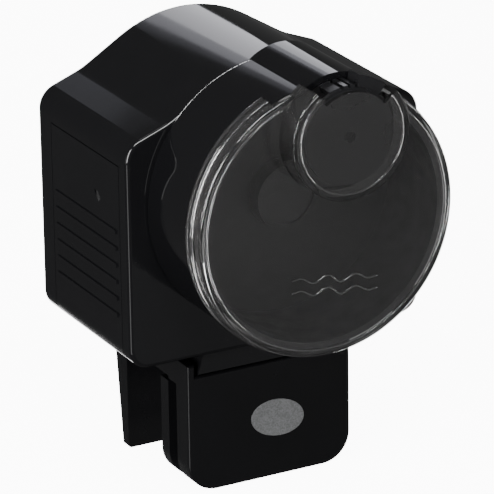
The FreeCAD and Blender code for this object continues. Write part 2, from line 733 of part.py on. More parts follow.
def make_drive():
    wheel_teeth = int(D.wheel_teeth.number)
    pinion_teeth = int(D.pinion_teeth.number)
    at_motor = (D.motor_x, -D.motor_drop)
    gear_back = D.gear_front + D.gear_width

    # the gear pair meshes on the line of centres: a tooth of the wheel in a gap of the pinion
    line = math.degrees(math.atan2(D.motor_x.number, -D.motor_drop.number))
    wheel_turn = line % (360 / wheel_teeth)
    pinion_turn = line + 180 + 180 / pinion_teeth
    wheel = doc.addObject("Part::Feature", "drum_gear_blank")
    solid = involute_gear(wheel_teeth, D.gear_front.number, D.gear_width.number,
                          D.shaft_radius.number, (0, 0), wheel_turn)
    pocket_ring = Part.makeCylinder(15.6, 1.2, FreeCAD.Vector(0, D.gear_front.number, 0), Y_AXIS)
    pocket_ring = pocket_ring.cut(
        Part.makeCylinder(6.0, 1.2, FreeCAD.Vector(0, D.gear_front.number, 0), Y_AXIS))
    magnet_hole = Part.makeCylinder(
        1.5, 2, FreeCAD.Vector(0, gear_back.number - 2, 14), Y_AXIS)
    wheel.Shape = solid.cut(pocket_ring).cut(magnet_hole)
    node("drum_gear", wheel)
    node("index_magnet", rod(1.5, gear_back - 2, gear_back, (0, 14)))

    pinion = doc.addObject("Part::Feature", "pinion_blank")
    pinion.Shape = involute_gear(pinion_teeth, D.gear_front.number - 0.5,
                                 D.gear_width.number + 1, D.motor_shaft.number,
                                 (D.motor_x.number, -D.motor_drop.number), pinion_turn)
    node("motor_pinion", pinion)
    node("motor_shaft", rod(D.motor_shaft, D.gear_front - 0.5, D.plate_front + 7, at_motor))

    shaft = rod(D.shaft_radius, -(D.hub_front - 1.5), D.shaft_back)
    ring = cut(rod(D.shaft_radius + 1, 24.6, 25.4), rod(D.shaft_radius - 0.4, 24, 26))
    node("drum_shaft", cut(shaft, ring))
    clip = cut(rod(D.shaft_radius + 1.8, 24.65, 25.35), rod(D.shaft_radius - 0.4, 24, 26),
               box(-1.6, 1.6, 24, 26, 0, 8))
    node("shaft_clip", clip)

    bore = D.shaft_radius + D.running_gap
    front_bush = turned([(bore, 0.1), (4.5, 0.1), (4.5, BEARING_BACK), (6.0, BEARING_BACK),
                         (6.0, BEARING_BACK + 1), (bore, BEARING_BACK + 1)])
    node("front_bushing", front_bush)
    plate_back = D.plate_front + D.plate_width
    rear_bush = turned([(bore, D.plate_front - 1), (6.0, D.plate_front - 1),
                        (6.0, D.plate_front), (4.5, D.plate_front), (4.5, plate_back + 0.4),
                        (bore, plate_back + 0.4)])
    node("rear_bushing", rear_bush)

    plate = box(-22, 29.4, D.plate_front, plate_back, -26.6, 18.5)
    openings = [rod(4.5, 18, 24), rod(2.6, 18, 24, at_motor)]
    openings += [rod(1.5, 18, 24, at) for at in PLATE_POSTS]
    openings += [rod(0.9, 18, 24, (D.motor_x + side * 4.5, -D.motor_drop)) for side in (-1, 1)]
    node("gear_plate", cut(plate, *openings))

    screws = []
    for at in PLATE_POSTS:
        screws.append(fuse(rod(1.1, plate_back - 8, plate_back, at),
                           rod(2.3, plate_back, plate_back + 1.6, at)))
    node("plate_screws", group(*screws))

    gearbox = box(D.motor_x - 6, D.motor_x + 6, plate_back, plate_back + 9,
                  -D.motor_drop - 5, -D.motor_drop + 5)
    holes = [rod(D.motor_shaft + D.running_gap, 20, plate_back + 5, at_motor)]
    holes += [rod(0.8, 20, plate_back + 3, (D.motor_x + side * 4.5, -D.motor_drop))
              for side in (-1, 1)]
    node("motor_gearbox", cut(gearbox, *holes))
    can = common(rod(6.0, plate_back + 9, plate_back + 24, at_motor),
                 box(D.motor_x - 7, D.motor_x + 7, plate_back, plate_back + 30,
                     -D.motor_drop - 5, -D.motor_drop + 5))
    nose = rod(2.0, plate_back + 24, plate_back + 25.2, at_motor)
    tags = [box(D.motor_x + side * 3.6 - 0.8, D.motor_x + side * 3.6 + 0.8,
                plate_back + 23.5, plate_back + 26, -D.motor_drop - 0.2, -D.motor_drop + 0.2)
            for side in (-1, 1)]
    node("motor_can", fuse(can, nose, *tags))
    screws = []
    for side in (-1, 1):
        at = (D.motor_x + side * 4.5, -D.motor_drop)
        screws.append(fuse(rod(0.8, D.plate_front, plate_back + 3, at),
                           rod(1.5, D.plate_front - 1.0, D.plate_front, at)))
    node("motor_screws", group(*screws))
    node("reed_switch", fuse(rod(1.0, -5, 5, (18.4, 14), axis="X"),
                             rod(0.3, -9, 9, (18.4, 14), axis="X")))


# ---------------------------------------------------------------- electronics

def make_electronics():
    back = D.board_front + D.board_width
    board = box(-20.4, 30.4, D.board_front, back, -10, 18.6)
    holes = [rod(1.2, 45, 50, at) for at in BOARD_POSTS]
    node("circuit_board", cut(board, *holes))
    screws = []
    for at in BOARD_POSTS:
        screws.append(fuse(rod(0.9, D.board_front, back + 4, at),
                           rod(1.9, D.board_front - 1.2, D.board_front, at)))
    node("board_screws", group(*screws))
    node("display_module", box(D.panel_x - 16, D.panel_x + 16, back, back + 3.4,
                               D.display_rise - 8, D.display_rise + 8))
    lens = fuse(box(D.panel_x - 15, D.panel_x + 15, D.case_depth - D.case_wall,
                    D.case_depth - 0.3, D.display_rise - 7, D.display_rise + 7),
                box(D.panel_x - 16.6, D.panel_x + 16.6, D.case_depth - D.case_wall - 0.9,
                    D.case_depth - D.case_wall, D.display_rise - 8.3, D.display_rise + 8.3))
    node("display_lens", lens)
    switches = []
    for i in range(BUTTON_COUNT):
        x = button_x(i)
        z = -D.button_drop
        switches.append(box(x - 2.5, x + 2.5, back, back + SWITCH_HEIGHT, z - 2.2, z + 2.2))
    node("button_switches", group(*switches))
    chip = box(-10, 0, D.board_front - 1.4, D.board_front, 2, 12)
    buzzer = rod(5.5, D.board_front - 5, D.board_front, (14, 8))
    node("board_parts", group(chip, buzzer))
    names = ("clock_button", "hour_button", "minute_button", "feed_button")
    for i, label in enumerate(names):
        start = back + SWITCH_HEIGHT + D.button_travel + 0.3
        wall = D.case_depth - D.case_wall
        end = D.case_depth + 1.0
        profile = [(0, start), (1.4, start), (1.4, wall - 1.4), (D.button_radius + 1.0, wall - 1.4),
                   (D.button_radius + 1.0, wall - 0.3), (D.button_radius, wall - 0.3),
                   (D.button_radius, end - 0.5), (D.button_radius - 0.5, end), (0, end)]
        node(label, turned(profile, at=(button_x(i), -D.button_drop)))


# ---------------------------------------------------------------- drum, lid and shutter

def make_drum():
    back = -D.drum_play
    wall_front = -D.drum_front
    seat = -D.spigot_front
    shell = turned([(0, back), (D.drum_radius, back), (D.drum_radius, wall_front),
                    (D.spigot_radius, wall_front), (D.spigot_radius, seat), (0, seat)])
    soften(shell, D.drum_edge, lies_on("y", back.number))
    pad_start = -D.notch_angle.number / 2
    flush = rod(D.drum_radius, seat, wall_front + 1, angle=D.notch_angle, first=pad_start)
    channel = rod(D.channel_radius, -D.channel_front, back, (0, D.cup_offset))
    solid = fuse(shell, flush, channel)
    inner = -(D.drum_play + D.drum_back)
    bore = rod(D.drum_radius - D.drum_wall - 1.9, -40, inner)
    throat = rod(D.channel_radius - D.channel_wall, -40, inner, (0, D.cup_offset))
    hollow = cut(solid, fuse(bore, throat))
    # the boss has a raised rim round its face, and a blind bore for the shaft
    hub = cut(rod(D.hub_radius, -(D.hub_front + 0.8), inner + 1),
              rod(D.hub_radius - 1.6, -(D.hub_front + 2), -D.hub_front))
    cup = fuse(hollow, hub)
    node("drum_cup", cut(cup, rod(D.shaft_radius, -(D.hub_front - 1.5), 1)), turns=True)


def make_lid():
    front = -D.lid_front
    narrow = D.lid_radius - 0.6
    disc = turned([(0, front), (narrow, front), (narrow, -D.skirt_step),
                   (D.lid_radius, -D.skirt_step), (D.lid_radius, -D.lid_back),
                   (D.skirt_bore, -D.lid_back), (D.skirt_bore, front + D.lid_disc),
                   (0, front + D.lid_disc)])
    soften(disc, D.lid_edge, lies_on("y", front.number))
    soften(disc, D.skirt_edge, is_ring(D.lid_radius.number, -D.skirt_step.number))
    soften(disc, D.skirt_edge, lies_on("y", -D.lid_back.number))
    notch = rod(D.lid_radius + 5, front + D.lid_disc, -D.lid_back + 5,
                angle=D.notch_angle + 1.2, first=-(D.notch_angle.number + 1.2) / 2)
    edge = cut(rod(D.lid_radius + 5, front - 1, front + D.lid_disc, angle=D.notch_angle + 1.2,
                   first=-(D.notch_angle.number + 1.2) / 2),
               rod(D.drum_radius, front - 2, 0))
    throat = rod(D.cup_bore, front - 1, front + D.lid_disc + 0.5, (0, D.cup_offset))
    plate = cut(disc, notch, edge, throat)
    centre = D.cup_offset
    ring = turned([(D.cup_bore, front + D.lid_disc), (D.cup_radius, front + D.lid_disc),
                   (D.cup_radius, -D.cup_front), (0, -D.cup_front),
                   (0, -D.cup_front + D.cup_face), (D.cup_bore, -D.cup_front + D.cup_face)],
                  at=(0, centre))
    soften(ring, D.cup_edge, lies_on("y", -D.cup_front.number))
    mouth = cut(rod(30, -D.cup_front - 1, front + D.lid_disc + 2, (0, centre),
                    angle=D.mouth_angle, first=-D.mouth_angle.number / 2),
                rod(D.mouth_floor, -D.cup_front - 2, 0, (0, centre)))
    pin = rod(D.pivot_radius, -D.cup_front + 0.5, -(D.shutter_front - 2.6), (0, centre))
    lid = fuse(cut(fuse(plate, ring), mouth), pin)
    node("clear_lid", lid, turns=True)


def shutter_slice(outer, inner, first, last, start, end):
    """Part of a ring about the measuring cup's axis."""
    centre = (0, D.cup_offset)
    return cut(rod(outer, start, end, centre, angle=last - first, first=first),
               rod(inner, Size.of(start) - 1, Size.of(end) + 1, centre))


def make_shutter():
    back = -D.shutter_back
    front = -D.shutter_front
    centre = (0, D.cup_offset)
    inner = D.shutter_radius - D.shutter_wall
    wall = shutter_slice(D.shutter_radius - 0.9, inner, -30, 58, front, back)
    grips = [shutter_slice(D.shutter_radius, inner, first, last, front, back)
             for first, last in ((-30, -18), (-13, -8), (-4, 1))]
    tab = shutter_slice(D.shutter_tab, inner, 5, 36, front + 0.4, back - 0.4)
    disc = rod(D.shutter_radius - 0.9, front, front + 1.6, centre)
    hub = rod(4.0, front, front + 4.6, centre)
    plate = fuse(wall, tab, disc, hub, *grips)
    hole = rod(D.pivot_radius + D.running_gap, front - 1, front + 3, centre)
    node("portion_shutter", cut(plate, hole), turns=True)


# ---------------------------------------------------------------- clamp

def jaw(front, back, top, corner):
    """A jaw plate with rounded lower corners."""
    half = D.jaw_half
    low = -D.jaw_bottom
    body = new_body()
    pad(body, "front", front, back, [(-half, low), (half, low), (half, top), (-half, top)])

    def lower_corner(edge):
        return any(runs_along(Y_AXIS, x=side * half.number, z=low.number)(edge)
                   for side in (-1, 1))

    soften(body, corner, lower_corner)
    return body


def make_clamp():
    half = D.jaw_half
    top, seat = -D.bridge_top, -D.bridge_seat
    jaw_back = D.jaw_front + D.jaw_width
    front_jaw = jaw(D.jaw_front, jaw_back, -D.jaw_top, D.jaw_round)
    notch, floor = D.jaw_notch, -D.notch_floor
    pocket(front_jaw, "front", D.jaw_front - 1, jaw_back + 1,
           [(-notch, floor), (notch, floor), (notch, top), (-notch, top)])
    soften(front_jaw, 0.8, lies_on("y", D.jaw_front.number))
    rear_jaw = jaw(D.rear_jaw, D.rear_jaw_back, top, 1.0)
    lean = new_body()
    foot = -(D.jaw_bottom + 1)
    pad(lean, "side", -(half + 1), half + 1,
        [(D.rear_jaw_back, seat), (D.rear_jaw_tip, foot), (D.rear_jaw_back + 4, foot),
         (D.rear_jaw_back + 4, seat)])
    underside = seat + D.seat_rise
    bridge = box(-half, half, jaw_back - 0.5, D.rear_jaw_back, underside, top)
    root_block = box(-half, half, D.jaw_front + 1, jaw_back, underside, -D.notch_floor)
    seat_block = box(-half, half, jaw_back - 0.5, jaw_back + D.plate_gap - 0.2, seat, top)
    bracket = fuse(front_jaw, bridge, root_block, seat_block, cut(rear_jaw, lean))
    play = D.rail_play
    root = D.rail_half + play
    flare = D.rail_half + D.rail_flare + play
    groove = new_body()
    rise = -(D.bottom_drop + D.rail_height) - play
    pad(groove, "front", D.jaw_front - 1, D.rail_back + play,
        [(-flare, rise), (flare, rise), (root, top + 1), (-root, top + 1)])
    at = (0, -D.screw_drop)
    hole = rod(D.screw_radius + 0.5, 40, 50, at)
    nut_seat = hexagon(10.2, D.rear_jaw - 1, D.rear_jaw + 3.2, at)
    node("clamp_bracket", cut(bracket, groove, hole, nut_seat))
    nut = cut(hexagon(10.0, D.rear_jaw + 0.2, D.rear_jaw + 3.2, at),
              rod(D.screw_radius + D.running_gap, 40, 50, at))
    node("clamp_nut", nut)

    sticker = doc.addObject("Part::Ellipse", unique("oval"))
    bind(sticker, "MajorRadius", 8.6)
    bind(sticker, "MinorRadius", 5.6)
    tilt = FreeCAD.Rotation(Y_AXIS, 10)
    flat = FreeCAD.Rotation(X_AXIS, 90)
    sticker.Placement = FreeCAD.Placement(FreeCAD.Vector(), tilt.multiply(flat))
    put(sticker, 2.4, D.jaw_front, -71.5)
    film = doc.addObject("Part::Extrusion", unique("film"))
    film.Base = sticker
    film.DirMode = "Custom"
    film.Dir = -Y_AXIS
    film.LengthFwd = 0.12
    film.Solid = True
    film.FaceMakerClass = "Part::FaceMakerBullseye"
    node("oval_sticker", film)

    plate_front = jaw_back + D.plate_gap
    plate_back = plate_front + D.plate_depth
    plate = jaw(plate_front, plate_back, seat - 0.8, D.jaw_round)
    boss = rod(7.0, plate_back - 0.5, plate_back + 3.4, at)
    seat_hole = rod(D.screw_radius + D.running_gap, plate_back - 1.2, plate_back + 4, at)
    node("pressure_plate", cut(fuse(plate, boss), seat_hole))

    tip = plate_back - 1.0
    screw = turned([(0, tip), (2.2, tip), (D.screw_radius, tip + 0.8),
                    (D.screw_radius, D.knob_back - 2), (0, D.knob_back - 2)], at=at)
    node("clamp_screw", screw)

    knob = new_body()
    pad(knob, "front", D.knob_front, D.knob_back, circle=(D.knob_radius, at))
    knob_round = lies_on("y", D.knob_back.number)
    soften(knob, 1.6, knob_round)
    doc.recompute()
    flutes = []
    for i in range(9):
        angle = 2 * math.pi * i / 9
        reach = D.knob_radius + 1.9
        flutes.append(rod(3.2, D.knob_front - 1, D.knob_back + 1,
                          (reach * math.sin(angle), reach * math.cos(angle) - D.screw_drop)))
    collar = rod(6.0, D.knob_front - 1.2, D.knob_front + 1, at)
    node("clamp_knob", cut(fuse(cut(knob, *flutes), collar),
                           rod(D.screw_radius, 40, D.knob_back - 2, at)))


make_front_shell()
make_rear_shell()
make_battery_door()
make_case_screws()
make_battery_bay()
make_drive()
make_electronics()
make_drum()
make_lid()
make_shutter()
make_clamp()
doc.recompute()

for obj in doc.Objects:
    if "Invalid" in obj.State or "Error" in obj.State:
        raise RuntimeError(f"{obj.Name} ({obj.Label}) failed: {obj.State}")

# the middle of the rim seat becomes the origin of the model
seat_depth = (D.jaw_front + D.jaw_width + (D.plate_gap - 0.2) * 0.5).number
lift = FreeCAD.Vector(0, -seat_depth, D.bridge_seat.number)
rest = FreeCAD.Rotation(Y_AXIS, D.rest_turn.number)
for solid, turns in nodes:
    turn = rest if turns else FreeCAD.Rotation()
    solid.Placement = FreeCAD.Placement(lift, turn).multiply(solid.Placement)
    shape = solid.Shape
    if shape.isNull() or not shape.isValid():
        raise RuntimeError(f"{solid.Label} has no valid shape")
    shape.exportStep(f"parts/{solid.Label}.step")
    print(f"{solid.Label}: {shape.Volume / 1000:.2f} cm3, {len(shape.Solids)} solid(s)")
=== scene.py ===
import json
import math

import bpy
from mathutils import Matrix, Vector


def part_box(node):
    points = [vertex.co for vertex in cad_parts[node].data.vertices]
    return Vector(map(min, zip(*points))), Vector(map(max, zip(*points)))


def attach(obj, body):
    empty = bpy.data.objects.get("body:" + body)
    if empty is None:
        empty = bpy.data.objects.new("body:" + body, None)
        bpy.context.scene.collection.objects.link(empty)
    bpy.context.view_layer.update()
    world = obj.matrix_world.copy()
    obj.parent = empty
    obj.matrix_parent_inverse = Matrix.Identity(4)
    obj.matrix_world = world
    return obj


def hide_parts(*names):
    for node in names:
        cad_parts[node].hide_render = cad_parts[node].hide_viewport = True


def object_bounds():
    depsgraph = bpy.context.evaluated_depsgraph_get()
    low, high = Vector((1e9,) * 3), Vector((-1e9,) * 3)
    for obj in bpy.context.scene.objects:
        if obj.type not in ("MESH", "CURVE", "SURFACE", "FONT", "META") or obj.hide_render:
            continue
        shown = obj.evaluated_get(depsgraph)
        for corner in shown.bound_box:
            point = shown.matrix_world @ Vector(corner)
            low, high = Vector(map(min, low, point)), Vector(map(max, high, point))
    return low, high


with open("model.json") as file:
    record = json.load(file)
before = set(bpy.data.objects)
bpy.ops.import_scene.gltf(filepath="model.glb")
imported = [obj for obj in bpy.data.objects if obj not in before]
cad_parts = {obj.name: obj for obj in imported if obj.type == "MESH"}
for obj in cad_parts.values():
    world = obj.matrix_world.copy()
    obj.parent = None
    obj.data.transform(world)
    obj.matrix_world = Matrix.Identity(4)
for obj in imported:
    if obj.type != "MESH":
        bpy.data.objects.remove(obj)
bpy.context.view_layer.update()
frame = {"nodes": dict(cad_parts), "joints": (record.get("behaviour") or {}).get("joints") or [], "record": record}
MM = 0.001


# ---------------------------------------------------------------- camera

AZIMUTH = -27.9          # degrees
ELEVATION = 21.0
ROLL = -0.83
DISTANCE = 1.2           # metres
LENS = 312.5             # millimetres
FAR_CLIP = 20            # metres
TARGET = Vector((-0.0082, -0.0125, 0.0414))


def make_camera():
    """The camera looks at TARGET; azimuth runs from -Y, the front, towards +X."""
    azimuth, elevation = math.radians(AZIMUTH), math.radians(ELEVATION)
    back = Vector((math.sin(azimuth) * math.cos(elevation),
                   -math.cos(azimuth) * math.cos(elevation), math.sin(elevation)))
    camera = bpy.data.objects.new("camera", bpy.data.cameras.new("camera"))
    bpy.context.scene.collection.objects.link(camera)
    camera.data.lens = LENS
    camera.data.clip_end = FAR_CLIP
    turn = (-back).to_track_quat("-Z", "Y").to_matrix().to_4x4()
    camera.matrix_world = Matrix.Translation(TARGET + back * DISTANCE) @ turn @ Matrix.Rotation(
        math.radians(ROLL), 4, "Z")
    bpy.context.scene.camera = camera


make_camera()


# ---------------------------------------------------------------- materials

class Nodes:
    """A short way to wire the nodes of one material."""

    def __init__(self, name):
        self.material = bpy.data.materials.new(name)
        self.material.use_nodes = True
        self.tree = self.material.node_tree
        self.shader = self.tree.nodes["Principled BSDF"]
        self.place = self.add("ShaderNodeTexCoord").outputs["Object"]

    def add(self, kind, **values):
        """A new node; a value sets a property of that name, or else an input."""
        node = self.tree.nodes.new(kind)
        for key, value in values.items():
            if hasattr(node, key):
                setattr(node, key, value)
            else:
                node.inputs[key.replace("_", " ")].default_value = value
        return node

    def link(self, source, target):
        self.tree.links.new(source, target)

    def stretched(self, scale):
        mapping = self.add("ShaderNodeMapping")
        mapping.inputs["Scale"].default_value = scale
        self.link(self.place, mapping.inputs["Vector"])
        return mapping.outputs["Vector"]

    def noise(self, scale, detail=3.0, where=None):
        noise = self.add("ShaderNodeTexNoise", Scale=scale, Detail=detail)
        self.link(where or self.place, noise.inputs["Vector"])
        return noise.outputs["Fac"]

    def remap(self, value, low, high, start=0.3, end=0.7):
        """Carries start..end onto low..high; the defaults are where noise mostly lies."""
        remap = self.add("ShaderNodeMapRange")
        remap.inputs["From Min"].default_value = start
        remap.inputs["From Max"].default_value = end
        remap.inputs["To Min"].default_value = low
        remap.inputs["To Max"].default_value = high
        self.link(value, remap.inputs["Value"])
        return remap.outputs["Result"]

    def tint(self, value, dark, light):
        """A colour between two, by a value from 0 to 1."""
        mix = self.add("ShaderNodeMix", data_type="RGBA")
        self.link(value, mix.inputs["Factor"])
        mix.inputs["A"].default_value = (*dark, 1)
        mix.inputs["B"].default_value = (*light, 1)
        return mix.outputs["Result"]

    def bump(self, height, distance, under=None):
        bump = self.add("ShaderNodeBump", Strength=1.0, Distance=distance)
        self.link(height, bump.inputs["Height"])
        if under:
            self.link(under, bump.inputs["Normal"])
        return bump.outputs["Normal"]


GRAIN_SCALE = 9000.0     # how often a spark-eroded grain changes in a metre


def moulded(name, base, rough, spread=0.04, peel=0.004, grain=0.0, tone=0.12, **sockets):
    """Moulded plastic: cloudy gloss, a slight orange peel, an optional spark-eroded grain.
    Peel and grain are depths in millimetres."""
    n = Nodes(name)
    cloud = n.noise(55, 4)
    n.link(n.remap(cloud, rough - spread, rough + spread), n.shader.inputs["Roughness"])
    dark = tuple(c * (1 - tone) for c in base)
    light = tuple(min(1, c * (1 + tone)) for c in base)
    n.link(n.tint(n.noise(140, 2), dark, light), n.shader.inputs["Base Color"])
    normal = n.bump(n.noise(420, 2), peel * MM)
    if grain:
        normal = n.bump(n.noise(GRAIN_SCALE, 2), grain * MM, under=normal)
    n.link(normal, n.shader.inputs["Normal"])
    for key, value in sockets.items():
        n.shader.inputs[key.replace("_", " ")].default_value = value
    return n.material


LINES_ACROSS = 2600.0    # how often fine lines change across, and along their run
LINES_ALONG = 60.0


def brushed(name, base, rough, along, tone=0.15):
    """Metal with fine lines along one axis."""
    n = Nodes(name)
    scale = [LINES_ACROSS] * 3
    scale["XYZ".index(along)] = LINES_ALONG
    lines = n.noise(1.0, 2, n.stretched(scale))
    n.link(n.remap(lines, rough - 0.08, rough + 0.1), n.shader.inputs["Roughness"])
    n.link(n.tint(n.noise(90, 3), tuple(c * (1 - tone) for c in base), base),
           n.shader.inputs["Base Color"])
    n.link(n.bump(lines, 0.004 * MM), n.shader.inputs["Normal"])
    n.shader.inputs["Metallic"].default_value = 1.0
    return n.material


def clear(name, tint, haze, rough):
    """Clear moulded plastic with hairline scratches and a little haze."""
    n = Nodes(name)
    scratches = n.noise(1.0, 1, n.stretched((90, 2200, 2200)))
    n.link(n.remap(scratches, rough, rough + 0.05, 0.45, 0.75), n.shader.inputs["Roughness"])
    n.link(n.tint(n.noise(60, 2), tuple(c * 0.97 for c in tint), tint),
           n.shader.inputs["Base Color"])
    n.link(n.bump(n.noise(60, 2), 0.0008 * MM), n.shader.inputs["Normal"])
    n.shader.inputs["Transmission Weight"].default_value = 1.0 - haze
    n.shader.inputs["IOR"].default_value = 1.49
    return n.material


BAND_FROM = 0.72         # where a cell's coppery band begins, as a share of its length


def jacket():
    """A cell's printed sleeve: dark body with a coppery band at its positive end."""
    n = Nodes("cell_jacket")
    split = n.add("ShaderNodeSeparateXYZ")
    n.link(n.place, split.inputs["Vector"])
    low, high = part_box("battery_front")
    edge = low.z + (high.z - low.z) * BAND_FROM
    band = n.remap(split.outputs["Z"], 0, 1, edge, edge + 0.2 * MM)
    n.link(n.tint(band, (0.012, 0.014, 0.02), (0.42, 0.2, 0.07)), n.shader.inputs["Base Color"])
    n.link(n.remap(n.noise(300, 3), 0.2, 0.34), n.shader.inputs["Roughness"])
    n.shader.inputs["Metallic"].default_value = 0.6
    return n.material


def board():
    """Solder mask with a faint pattern of copper runs under it."""
    n = Nodes("board_green")
    runs = n.add("ShaderNodeTexBrick", Scale=210.0)
    runs.inputs["Mortar Size"].default_value = 0.06
    n.link(n.place, runs.inputs["Vector"])
    n.link(n.tint(runs.outputs["Fac"], (0.008, 0.12, 0.04), (0.02, 0.2, 0.07)),
           n.shader.inputs["Base Color"])
    n.link(n.remap(n.noise(500, 2), 0.25, 0.4), n.shader.inputs["Roughness"])
    return n.material


def film():
    """Silver sticker film: a fine sparkle over a satin metal."""
    n = Nodes("sticker_silver")
    flakes = n.add("ShaderNodeTexVoronoi", Scale=2600.0)
    n.link(n.place, flakes.inputs["Vector"])
    cell = n.add("ShaderNodeSeparateXYZ")
    n.link(flakes.outputs["Color"], cell.inputs["Vector"])
    n.link(n.tint(cell.outputs["X"], (0.18, 0.182, 0.185), (0.28, 0.285, 0.29)),
           n.shader.inputs["Base Color"])
    n.link(n.remap(cell.outputs["Y"], 0.35, 0.6, 0, 1), n.shader.inputs["Roughness"])
    n.link(n.bump(n.noise(900, 2), 0.006 * MM), n.shader.inputs["Normal"])
    n.shader.inputs["Metallic"].default_value = 0.35
    return n.material


BLACK = (0.0055, 0.0055, 0.0062)
DRUM_BORE = 37.4 * MM    # radius, just inside the drum's wall
BORE_EDGE = 1.002        # the two looks meet within this share of the radius squared
joints = {j["name"]: j for j in frame["joints"]}
axis = Vector(joints["drum_turn"]["pos_m"])


def drum_plastic_painted_bore_light():
    """Polished outside; inside the drum's bore a matt surface whose greyer colour is painted light, standing for
    the light seen in the bore through the clear lid.
    """
    n = Nodes("drum_black")
    split = n.add("ShaderNodeSeparateXYZ")
    n.link(n.place, split.inputs["Vector"])
    squares = []
    for letter, middle in (("X", axis.x), ("Z", axis.z)):
        offset = n.add("ShaderNodeMath", operation="SUBTRACT")
        n.link(split.outputs[letter], offset.inputs[0])
        offset.inputs[1].default_value = middle
        square = n.add("ShaderNodeMath", operation="POWER")
        n.link(offset.outputs[0], square.inputs[0])
        square.inputs[1].default_value = 2.0
        squares.append(square.outputs[0])
    total = n.add("ShaderNodeMath", operation="ADD")
    n.link(squares[0], total.inputs[0])
    n.link(squares[1], total.inputs[1])
    bore = DRUM_BORE ** 2
    outside = n.remap(total.outputs[0], 0, 1, bore, bore * BORE_EDGE)
    mix = n.add("ShaderNodeMix", data_type="RGBA")
    n.link(outside, mix.inputs["Factor"])
    # painted light: the bore's greyer colour stands for light seen through the lid on the black plastic
    n.link(n.tint(n.noise(320, 5), (0.016, 0.016, 0.017), (0.042, 0.042, 0.043)), mix.inputs["A"])
    mix.inputs["B"].default_value = (*BLACK, 1)
    n.link(mix.outputs["Result"], n.shader.inputs["Base Color"])
    gloss = n.add("ShaderNodeMix", data_type="FLOAT")
    n.link(outside, gloss.inputs["Factor"])
    n.link(n.remap(n.noise(200, 4), 0.38, 0.55), gloss.inputs["A"])
    n.link(n.remap(n.noise(55, 4), 0.05, 0.075), gloss.inputs["B"])
    n.link(gloss.outputs["Result"], n.shader.inputs["Roughness"])
    n.link(n.bump(n.noise(420, 2), 0.0015 * MM), n.shader.inputs["Normal"])
    return n.material


looks = {
    "housing_black": moulded("housing_black", BLACK, 0.065, 0.015, peel=0.0015),
    "door_black": moulded("door_black", BLACK, 0.17, 0.03, grain=0.002),
    "drum_black": drum_plastic_painted_bore_light(),
    "shutter_black": moulded("shutter_black", (0.01, 0.01, 0.011), 0.3, 0.05, grain=0.004),
    "clear_plastic": clear("clear_plastic", (0.95, 0.945, 0.945), 0.006, 0.0),
    "clamp_black": moulded("clamp_black", (0.004, 0.004, 0.0046), 0.24, 0.04, grain=0.003),
    "knob_black": moulded("knob_black", (0.012, 0.012, 0.013), 0.42, 0.06, grain=0.01),
    "screw_steel": brushed("screw_steel", (0.58, 0.58, 0.57), 0.32, "Y"),
    "shaft_steel": brushed("shaft_steel", (0.52, 0.52, 0.53), 0.25, "Y"),
    "bush_brass": brushed("bush_brass", (0.62, 0.42, 0.16), 0.34, "Y"),
    "gear_white": moulded("gear_white", (0.78, 0.77, 0.71), 0.42, grain=0.004, tone=0.04,
                          Subsurface_Weight=0.2),
    "tray_grey": moulded("tray_grey", (0.06, 0.06, 0.065), 0.45, grain=0.008),
    "cell_jacket": jacket(),
    "contact_nickel": brushed("contact_nickel", (0.66, 0.65, 0.62), 0.22, "X"),
    "motor_steel": brushed("motor_steel", (0.5, 0.5, 0.49), 0.3, "Y"),
    "magnet_nickel": brushed("magnet_nickel", (0.62, 0.62, 0.6), 0.15, "Y"),
    "reed_glass": clear("reed_glass", (0.7, 0.9, 0.75), 0.05, 0.03),
    "board_green": board(),
    "part_black": moulded("part_black", (0.02, 0.02, 0.02), 0.5, grain=0.006),
    "display_grey": moulded("display_grey", (0.3, 0.34, 0.28), 0.3, tone=0.04),
    "lens_clear": clear("lens_clear", (0.9, 0.92, 0.92), 0.0, 0.03),
    "button_grey": moulded("button_grey", (0.11, 0.11, 0.115), 0.42, grain=0.008),
    "sticker_silver": film(),
}
slots = {p["node"]: p["material_slot"] for p in frame["record"]["subparts"]}
for name, obj in frame["nodes"].items():
    obj.data.materials.clear()
    obj.data.materials.append(looks[slots[name]])


# ---------------------------------------------------------------- meshes

def add_piece(name, points, faces, slot, body, smooth=True):
    """A new piece in metres, with the finish of a slot of the record, on one body."""
    mesh = bpy.data.meshes.new(name)
    mesh.from_pydata(points, [], faces)
    mesh.validate()
    mesh.update()
    for face in mesh.polygons:
        face.use_smooth = smooth
    mesh.materials.append(looks[slot])
    piece = bpy.data.objects.new(name, mesh)
    bpy.context.scene.collection.objects.link(piece)
    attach(piece, body)
    return piece


def sweep(path, profile):
    """Points and faces of a profile carried along a path. A path entry is (place, out, up),
    and a profile corner is (along out, along up)."""
    points, faces = [], []
    size, count = len(profile), len(path)
    for place, out, up in path:
        points += [place + out * a + up * b for a, b in profile]
    for i in range(count - 1):
        here, there = i * size, (i + 1) * size
        for j in range(size):
            k = (j + 1) % size
            faces.append((here + j, here + k, there + k, there + j))
    faces.append(tuple(range(size - 1, -1, -1)))
    faces.append(tuple((count - 1) * size + j for j in range(size)))
    return points, faces


# the drum's own frame: its axis, and its rest turn as the cup's place tells it
cup = Vector(joints["shutter_turn"]["pos_m"])
cup_turn = math.atan2(cup.x - axis.x, cup.z - axis.z)
cup_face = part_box("clear_lid")[0].y
LID_RISE = 8.1 * MM                       # the cup's front stands this far before the lid's
lid_face = cup_face + LID_RISE
FRONT = Vector((0, -1, 0))


SUNK = 0.15 * MM                          # how deep a bead's foot goes into its surface
BEAD_STEPS = 6


def ridge(height, width):
    """Half a round bead that stands on a surface, sunk a little into it."""
    bead = [(-width / 2, -SUNK), (-width / 2, 0)]
    for k in range(1, BEAD_STEPS):
        angle = math.pi * k / BEAD_STEPS
        bead.append((-width / 2 * math.cos(angle), height * math.sin(angle)))
    return bead + [(width / 2, 0), (width / 2, -SUNK)]


